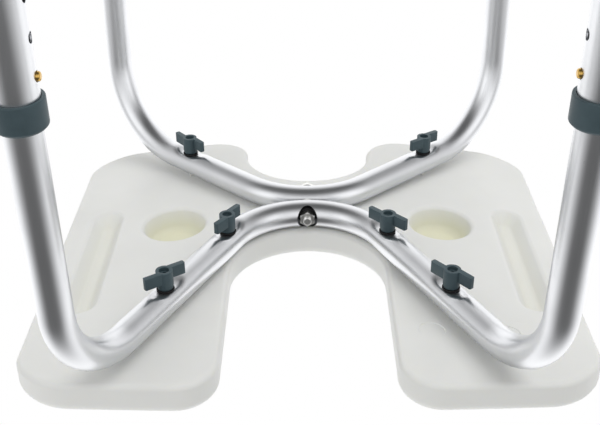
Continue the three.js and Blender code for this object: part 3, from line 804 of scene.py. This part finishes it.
def build_extension(name, fitting, tube):
    """Outer leg tube, drilled on its inner side for each height."""
    matrix, lean, inward = leg_place(name, tube)
    floor = matrix.translation.z / math.cos(lean)
    end = floor - fitting.foot_plug - GAP
    outer, bore, start = fitting.extension_radius, fitting.extension_bore, fitting.extension_start
    points = [(bore, -start), (bore, -end), (outer, -end), (outer, -start), (bore, -start)]
    pipe = spun(points, {}, 48)
    drills = []
    for index in range(fitting.holes):
        z = -(fitting.button_at + index * fitting.pitch)
        drill = cylinder(fitting.button_hole, 4 * MM, 20 * MM, 24, direction="X")
        bmesh.ops.transform(drill, matrix=Matrix.Diagonal((inward, 1, 1, 1)), verts=drill.verts)
        bmesh.ops.translate(drill, verts=drill.verts, vec=(0, 0, z))
        bmesh.ops.recalc_face_normals(drill, faces=drill.faces)
        drills.append(drill)
    bm = combined(pipe, "DIFFERENCE", drills)
    unbent = bm.verts.layers.float_vector.new("unbent")
    for vert in bm.verts:
        vert[unbent] = (vert.co.z, vert.co.x, vert.co.y)
    bmesh.ops.transform(bm, matrix=matrix, verts=bm.verts)
    stands_for = [f"leg_extension_{name}"]
    return finish_piece(bm, f"outer_leg_{name}", "tube_aluminium", stands_for, f"leg_{name}", 30)


def build_collar(name, fitting, tube):
    """Plastic collar round the top of the outer leg tube, with a lip over its end."""
    matrix, _, _ = leg_place(name, tube)
    top = -fitting.collar_start
    end = top - fitting.collar_length
    shoulder = -(fitting.extension_start - GAP)
    bore = fitting.extension_radius + GAP
    neck = fitting.extension_bore
    radius = fitting.collar_radius
    points = [
        (neck, top), (neck, shoulder), (bore, shoulder), (bore, end), (radius, end), (radius, top - 2 * MM),
        (radius - 2 * MM, top), (neck, top),
    ]
    bm = spun(points, {4: 0.8 * MM, 5: 0.7 * MM, 6: 0.7 * MM}, 64, 3)
    bmesh.ops.transform(bm, matrix=matrix, verts=bm.verts)
    return finish_piece(bm, f"leg_collar_{name}", "grey_plastic", [f"collar_{name}"], f"leg_{name}", 30)


def build_foot(name, fitting, tube):
    """Rubber ferrule: ribbed sleeve, flared sole with a rounded edge, and grip rings underneath."""
    matrix, lean, _ = leg_place(name, tube)
    sole = -matrix.translation.z / math.cos(lean)
    top = sole + fitting.foot_height
    bore = fitting.extension_radius + GAP
    points = [(0, sole)]
    rounds = {}
    for ring in range(3):
        inner = (5 + 4.5 * ring) * MM
        outer = inner + 1.5 * MM
        points += [(inner, sole), (inner, sole + 1 * MM), (outer, sole + 1 * MM), (outer, sole)]
    points += [(fitting.foot_sole, sole)]
    rounds[len(points) - 1] = 1.2 * MM
    points += [(fitting.foot_sole, sole + 6 * MM)]
    rounds[len(points) - 1] = 1.6 * MM
    points += [(fitting.foot_top, sole + 10 * MM)]
    rounds[len(points) - 1] = 2 * MM
    for rib in range(3):
        low = sole + (14 + 4 * rib) * MM
        inner = fitting.foot_top - 0.7 * MM
        points += [(fitting.foot_top, low), (inner, low + 0.5 * MM), (inner, low + 1.5 * MM),
                   (fitting.foot_top, low + 2 * MM)]
    points += [(fitting.foot_top, top)]
    rounds[len(points) - 1] = 0.9 * MM
    points += [(bore, top), (bore, sole + fitting.foot_plug), (0, sole + fitting.foot_plug)]
    bm = spun(points, rounds, 56, 3)
    for vert in bm.verts:
        level = 1 - between(vert.co.z, sole + 1.2 * MM, sole + 10 * MM)
        vert.co.z -= vert.co.y * math.tan(lean) * level
    bmesh.ops.transform(bm, matrix=matrix, verts=bm.verts)
    return finish_piece(bm, f"rubber_foot_{name}", "foot_rubber", [f"foot_{name}"], f"leg_{name}", 30)


def build_button(name, fitting, tube):
    """Brass button with a domed end, standing out through the top hole of the leg."""
    matrix, _, inward = leg_place(name, tube)
    base = fitting.button_base
    top = fitting.extension_radius + fitting.button_proud
    radius = fitting.button_radius
    points = [(0, base), (radius, base), (radius, top - 0.2 * MM), (radius * 0.55, top), (0, top)]
    bm = spun(points, {1: 0.3 * MM, 2: 1.3 * MM, 3: 0.6 * MM}, 32, 6)
    aside = Matrix.Rotation(inward * math.pi / 2, 4, "Y")
    down = Matrix.Translation((0, 0, -fitting.button_at))
    bmesh.ops.transform(bm, matrix=matrix @ down @ aside, verts=bm.verts)
    stands_for = [f"snap_button_{name}"]
    return finish_piece(bm, f"brass_button_{name}", "button_brass", stands_for, f"button_{name}", 40)


# Knobs, in their own place: +Z points down, away from the seat

WING_HEADINGS = {
    "front_left_inner": 47, "front_left_outer": 51, "front_right_inner": 125,
    "front_right_outer": 145, "back_left": 145, "back_right": 51,
}


def wing_blade(fitting, side):
    """One flat wing: a slab with a rounded tip, offset to one side of the boss."""
    bm = bmesh.new()
    tip = fitting.knob_span / 2
    half = fitting.wing / 2
    middle = fitting.wing_offset
    top = fitting.knob_height
    low = top - fitting.wing_height
    corners = [(1 * MM, low), (tip, low), (tip, top), (1 * MM, top)]
    verts = [bm.verts.new((x, middle - half, z)) for x, z in corners]
    face = bm.faces.new(verts)
    raised = bmesh.ops.extrude_face_region(bm, geom=[face])
    far = [item for item in raised["geom"] if isinstance(item, bmesh.types.BMVert)]
    bmesh.ops.translate(bm, verts=far, vec=(0, fitting.wing, 0))
    bmesh.ops.recalc_face_normals(bm, faces=bm.faces)
    uprights = [edge for edge in bm.edges if all(abs(vert.co.x - tip) < 1e-6 for vert in edge.verts)
                and abs(edge.verts[0].co.z - edge.verts[1].co.z) > 1e-6]
    bmesh.ops.bevel(bm, geom=uprights, offset=1.3 * MM, offset_type="OFFSET", segments=4, profile=0.5,
                    affect="EDGES", clamp_overlap=True, material=-1)
    if side < 0:
        bmesh.ops.rotate(bm, verts=bm.verts, cent=(0, 0, 0), matrix=Matrix.Rotation(math.pi, 3, "Z"))
    return bm


def build_knob(name, fitting):
    """Wing knob: a round boss with two wings, a recessed end and a bore for the stud."""
    low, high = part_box(f"wing_knob_{name}")
    centre = (low + high) / 2
    height = fitting.knob_height
    boss = fitting.knob_boss
    points = [(0, 0), (boss - 0.8 * MM, 0), (boss, 3 * MM), (boss, height), (0, height)]
    body = spun(points, {}, 40)
    bm = combined(body, "UNION", [wing_blade(fitting, 1), wing_blade(fitting, -1)])
    floor = height - fitting.knob_recess_depth
    recess = cylinder(fitting.knob_recess, floor, height + 4 * MM, 32)
    pocket = cylinder(2.2 * MM, floor - 1 * MM, height + 4 * MM, 6)
    bore = cylinder(fitting.knob_bore, -2 * MM, floor - 2 * MM, 24)
    bm = combined(bm, "DIFFERENCE", [recess, pocket, bore])
    bmesh.ops.dissolve_limit(bm, angle_limit=math.radians(1), verts=bm.verts, edges=bm.edges)
    bevel_rims(bm, 30, 0.55 * MM, 3)
    heading = math.radians(WING_HEADINGS[name])
    stand = Matrix.Translation((centre.x, centre.y, high.z)) @ Matrix.Rotation(math.pi, 4, "X")
    bmesh.ops.transform(bm, matrix=stand @ Matrix.Rotation(-heading, 4, "Z"), verts=bm.verts)
    return finish_piece(bm, f"knob_{name}", "grey_plastic", [f"wing_knob_{name}"], f"knob_{name}", 32)


def build_washer(name):
    """Rubber washer between a knob and the flat of the tube."""
    low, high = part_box(f"knob_washer_{name}")
    centre = (low + high) / 2
    outer = (high.x - low.x) / 2
    bore = 3.4 * MM
    points = [(bore, low.z), (outer, low.z), (outer, high.z), (bore, high.z), (bore, low.z)]
    bm = spun(points, {1: 0.3 * MM, 2: 0.3 * MM}, 40, 3)
    bmesh.ops.translate(bm, verts=bm.verts, vec=(centre.x, centre.y, 0))
    return finish_piece(bm, f"rubber_washer_{name}", "black_rubber", [f"knob_washer_{name}"], "root", 30)


# Centre fastening


def along_bolt(bm, node, start):
    """Lays a fastener made along Z on the line of the centre bolt, its start towards the back."""
    low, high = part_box(node)
    centre = (low + high) / 2
    lay = Matrix.Translation((centre.x, start, centre.z)) @ Matrix.Rotation(math.pi / 2, 4, "X")
    bmesh.ops.transform(bm, matrix=lay, verts=bm.verts)


def hexagon(thickness, bore, fastening):
    """A hexagonal prism with its corners turned off, and a round bore if one is given."""
    bm = bmesh.new()
    flat = fastening.across / 2
    corner = fastening.across / math.sqrt(3)
    bmesh.ops.create_cone(bm, cap_ends=True, segments=6, radius1=corner, radius2=corner, depth=thickness,
                          matrix=Matrix.Translation((0, 0, thickness / 2)))
    slope = fastening.turned_off
    outside = corner + 0.1 * MM
    end = thickness - slope
    points = [(0, 0), (flat, 0), (outside, slope), (outside, end), (flat, thickness), (0, thickness)]
    bm = combined(bm, "INTERSECT", [spun(points, {}, 60)])
    if bore:
        bm = combined(bm, "DIFFERENCE", [cylinder(bore, -1 * MM, thickness + 1 * MM, 40)])
    bmesh.ops.dissolve_limit(bm, angle_limit=math.radians(1), verts=bm.verts, edges=bm.edges)
    return bm


def build_nut(fastening):
    low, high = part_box("centre_nut")
    bm = hexagon(high.y - low.y, fastening.nut_bore, fastening)
    along_bolt(bm, "centre_nut", high.y)
    return finish_piece(bm, "hex_nut", "zinc_steel", ["centre_nut"], "root", 30)


def build_bolt(fastening):
    """Bolt with a hexagonal head and thread ridges at its free end."""
    low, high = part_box("centre_bolt")
    whole = high.y - low.y
    radius = fastening.bolt_radius
    start = fastening.head - 0.5 * MM  # inside the head
    bm = hexagon(fastening.head, 0, fastening)
    points = [(0, start), (radius, start)]
    ridges = int((fastening.thread - fastening.point) / fastening.pitch) + 1
    for index in range(ridges):
        z = whole - fastening.thread + index * fastening.pitch
        points += [(radius, z), (radius - fastening.thread_depth, z + fastening.pitch / 2)]
    points += [(radius, z + fastening.pitch), (radius - fastening.point, whole), (0, whole)]
    absorb(bm, spun(points, {}, 40))
    along_bolt(bm, "centre_bolt", high.y)
    return finish_piece(bm, "hex_bolt", "zinc_steel", ["centre_bolt"], "root", 25)


def build_bush(fastening):
    """Black bush inside the front tube: a narrow nose on the far wall, and a wide end for the nut."""
    low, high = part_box("tube_bush")
    outer = (high.x - low.x) / 2
    long = high.y - low.y
    bore = fastening.bush_bore
    nose = fastening.bush_nose
    neck = fastening.bush_neck
    points = [(bore, 0), (neck, 0), (neck, nose), (outer, nose), (outer, long), (bore, long), (bore, 0)]
    bm = spun(points, {3: 0.4 * MM, 4: 0.6 * MM}, 48, 3)
    along_bolt(bm, "tube_bush", high.y)
    return finish_piece(bm, "tube_bush_ring", "black_rubber", ["tube_bush"], "root", 30)


def build_ring(node, piece, slot, fastening):
    """A flat ring on the centre bolt."""
    low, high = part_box(node)
    outer = (high.x - low.x) / 2
    thick = high.y - low.y
    bore = fastening.ring_bore
    points = [(bore, 0), (outer, 0), (outer, thick), (bore, thick), (bore, 0)]
    bm = spun(points, {1: 0.25 * MM, 2: 0.25 * MM}, 40, 2)
    along_bolt(bm, node, high.y)
    return finish_piece(bm, piece, slot, [node], "root", 30)


# Stage


def build_world():
    """White for the camera, soft light for matt surfaces, and bright and dark bands for metal to reflect."""
    world = bpy.data.worlds.new("studio")
    bpy.context.scene.world = world
    world.use_nodes = True
    finish = Finish(world)
    direction = finish.node("ShaderNodeTexCoord").outputs["Generated"]
    apart = finish.node("ShaderNodeSeparateXYZ", None, {0: direction})
    x, y, z = (finish.value(apart, index) for index in range(3))
    behind = finish.remap(y * 0.868 + z * 0.496, -0.15, 0.45)
    band = finish.remap(abs(z + 0.35), 0.20, 0.62, 1.0, 0.0) * finish.remap(y, 0.0, -0.5)
    sides = finish.remap(abs(x), 0.45, 0.95, 0.0, 0.5)
    mirrored = 0.11 + behind * 1.25 + (1 - behind) * (band * 1.05 + sides)
    soft = finish.remap(y, -1.0, 1.0, 0.70, 0.36)
    rays = finish.node("ShaderNodeLightPath")
    seen = finish.value(rays, "Is Camera Ray")
    glossy = finish.value(rays, "Is Glossy Ray")
    strength = seen + (1 - seen) * (glossy * mirrored + (1 - glossy) * soft)
    shader = finish.node("ShaderNodeBackground", None, {"Color": (1.0, 1.0, 1.0), "Strength": strength})
    finish.node("ShaderNodeOutputWorld", None, {"Surface": shader.outputs[0]})


def build_floor(stage):
    """Pale round floor, seen only from above."""
    bm = bmesh.new()
    bmesh.ops.create_circle(bm, cap_ends=True, segments=96, radius=stage.floor_radius)
    mesh = bpy.data.meshes.new("floor")
    bm.to_mesh(mesh)
    bm.free()
    floor = bpy.data.objects.new("floor", mesh)
    floor.location.z = -0.2 * MM
    bpy.context.scene.collection.objects.link(floor)
    material, finish = new_material("floor")
    cloud = finish.noise(finish.place(), 2.5, 3, 0.5)
    colour = finish.mix(finish.remap(cloud, 0.3, 0.7), stage.floor, scaled(stage.floor, 0.985))
    solid = finish.node("ShaderNodeBsdfPrincipled", None, {"Base Color": colour, "Roughness": 0.7})
    clear = finish.node("ShaderNodeBsdfTransparent")
    below = finish.node("ShaderNodeNewGeometry").outputs["Backfacing"]
    both = finish.node("ShaderNodeMixShader", None, {0: below, 1: solid.outputs[0], 2: clear.outputs[0]})
    finish.node("ShaderNodeOutputMaterial", None, {"Surface": both.outputs[0]})
    mesh.materials.append(material)
    for ray in ("diffuse", "glossy", "transmission", "shadow", "volume_scatter"):
        setattr(floor, f"visible_{ray}", False)


def add_light(name, place, size, watts, colour=(1, 1, 1), glossy=True):
    light = bpy.data.lights.new(name, "AREA")
    light.shape = "RECTANGLE"
    light.size, light.size_y = size
    light.energy = watts
    light.color = colour
    item = bpy.data.objects.new(name, light)
    bpy.context.scene.collection.objects.link(item)
    item.location = place
    target = Vector((0, 0, 0.43))
    item.rotation_euler = (target - item.location).to_track_quat("-Z", "Y").to_euler()
    item.visible_camera = False
    item.visible_glossy = glossy


def build_lights():
    add_light("key", (-0.7, 0.1, -1.5), (1.7, 1.7), 17, glossy=False)
    add_light("fill", (1.2, -0.9, -0.5), (1.0, 1.0), 3, glossy=False)
    add_light("overhead", (0.3, -0.5, 2.0), (1.4, 1.4), 6, glossy=False)


def build_camera(stage):
    camera = bpy.data.objects.new("camera", bpy.data.cameras.new("camera"))
    bpy.context.scene.collection.objects.link(camera)
    camera.data.lens = stage.lens
    camera.data.sensor_width = 36
    camera.data.clip_start = 0.01
    camera.location = stage.place
    camera.rotation_euler = (stage.tilt, stage.roll, stage.heading)
    bpy.context.scene.camera = camera


# Operators


class STOOL_OT_stage(bpy.types.Operator):
    """Set up the camera, the soft lights, the surroundings and the floor"""

    bl_idname = "stool.stage"
    bl_label = "Stage"

    def execute(self, context):
        stage = context.scene.stool_stage
        build_camera(stage)
        build_world()
        build_lights()
        build_floor(stage)
        context.scene.view_settings.view_transform = "Standard"
        return {"FINISHED"}


class STOOL_OT_finishes(bpy.types.Operator):
    """Make the materials, and give them to the parts that keep their own shape"""

    bl_idname = "stool.finishes"
    bl_label = "Finishes"

    def execute(self, context):
        made = make_finishes(context.scene.stool_finish)
        for row in frame["record"]["subparts"]:
            mesh = frame["nodes"][row["node"]].data
            mesh.materials.clear()
            mesh.materials.append(made[row["material_slot"]])
        return {"FINISHED"}


class STOOL_OT_seat(bpy.types.Operator):
    """Build the moulded seat with its wells, slots and cut-outs"""

    bl_idname = "stool.seat"
    bl_label = "Seat"

    def execute(self, context):
        build_seat(context.scene.stool_seat)
        return {"FINISHED"}


class STOOL_OT_tubes(bpy.types.Operator):
    """Build the bent frame tubes with their pressed flats"""

    bl_idname = "stool.tubes"
    bl_label = "Frame Tubes"

    def execute(self, context):
        for place in BENDS:
            build_frame_tube(place, context.scene.stool_tube)
        return {"FINISHED"}


class STOOL_OT_knobs(bpy.types.Operator):
    """Build the wing knobs and their washers"""

    bl_idname = "stool.knobs"
    bl_label = "Wing Knobs"

    def execute(self, context):
        for name in KNOB_NAMES:
            build_knob(name, context.scene.stool_fitting)
            build_washer(name)
        return {"FINISHED"}


class STOOL_OT_fastening(bpy.types.Operator):
    """Build the bolt, nut, washer, bush and spacer where the tubes cross"""

    bl_idname = "stool.fastening"
    bl_label = "Centre Fastening"

    def execute(self, context):
        fastening = context.scene.stool_fastening
        build_nut(fastening)
        build_bolt(fastening)
        build_ring("centre_washer", "bolt_washer", "zinc_steel", fastening)
        build_ring("tube_spacer", "spacer_ring", "seat_plastic", fastening)
        build_bush(fastening)
        return {"FINISHED"}


class STOOL_OT_legs(bpy.types.Operator):
    """Build the outer leg tubes, collars, feet and snap buttons"""

    bl_idname = "stool.legs"
    bl_label = "Legs"

    def execute(self, context):
        fitting = context.scene.stool_fitting
        tube = context.scene.stool_tube
        for name in LEG_NAMES:
            build_extension(name, fitting, tube)
            build_collar(name, fitting, tube)
            build_foot(name, fitting, tube)
            build_button(name, fitting, tube)
        return {"FINISHED"}


OPERATORS = (
    STOOL_OT_stage,
    STOOL_OT_finishes,
    STOOL_OT_seat,
    STOOL_OT_tubes,
    STOOL_OT_knobs,
    STOOL_OT_fastening,
    STOOL_OT_legs,
)


class STOOL_PT_panel(bpy.types.Panel):
    """Lists the steps that build the stool"""

    bl_idname = "STOOL_PT_panel"
    bl_label = "Shower Stool"
    bl_space_type = "VIEW_3D"
    bl_region_type = "UI"
    bl_category = "Stool"

    def draw(self, context):
        for operator in OPERATORS:
            self.layout.operator(operator.bl_idname)
        for name in SETTINGS:
            group = getattr(context.scene, name)
            box = self.layout.box()
            for key in group.bl_rna.properties.keys():
                if key not in ("rna_type", "name"):
                    box.prop(group, key)


CLASSES = (*SETTINGS.values(), *OPERATORS, STOOL_PT_panel)


def register():
    for item in CLASSES:
        bpy.utils.register_class(item)
    for name, group in SETTINGS.items():
        setattr(bpy.types.Scene, name, PointerProperty(type=group))


def unregister():
    for name in SETTINGS:
        delattr(bpy.types.Scene, name)
    for item in reversed(CLASSES):
        bpy.utils.unregister_class(item)


def main():
    register()
    bpy.ops.stool.stage()
    bpy.ops.stool.finishes()
    bpy.ops.stool.seat()
    bpy.ops.stool.tubes()
    bpy.ops.stool.knobs()
    bpy.ops.stool.fastening()
    bpy.ops.stool.legs()


if __name__ == "__main__":
    main()
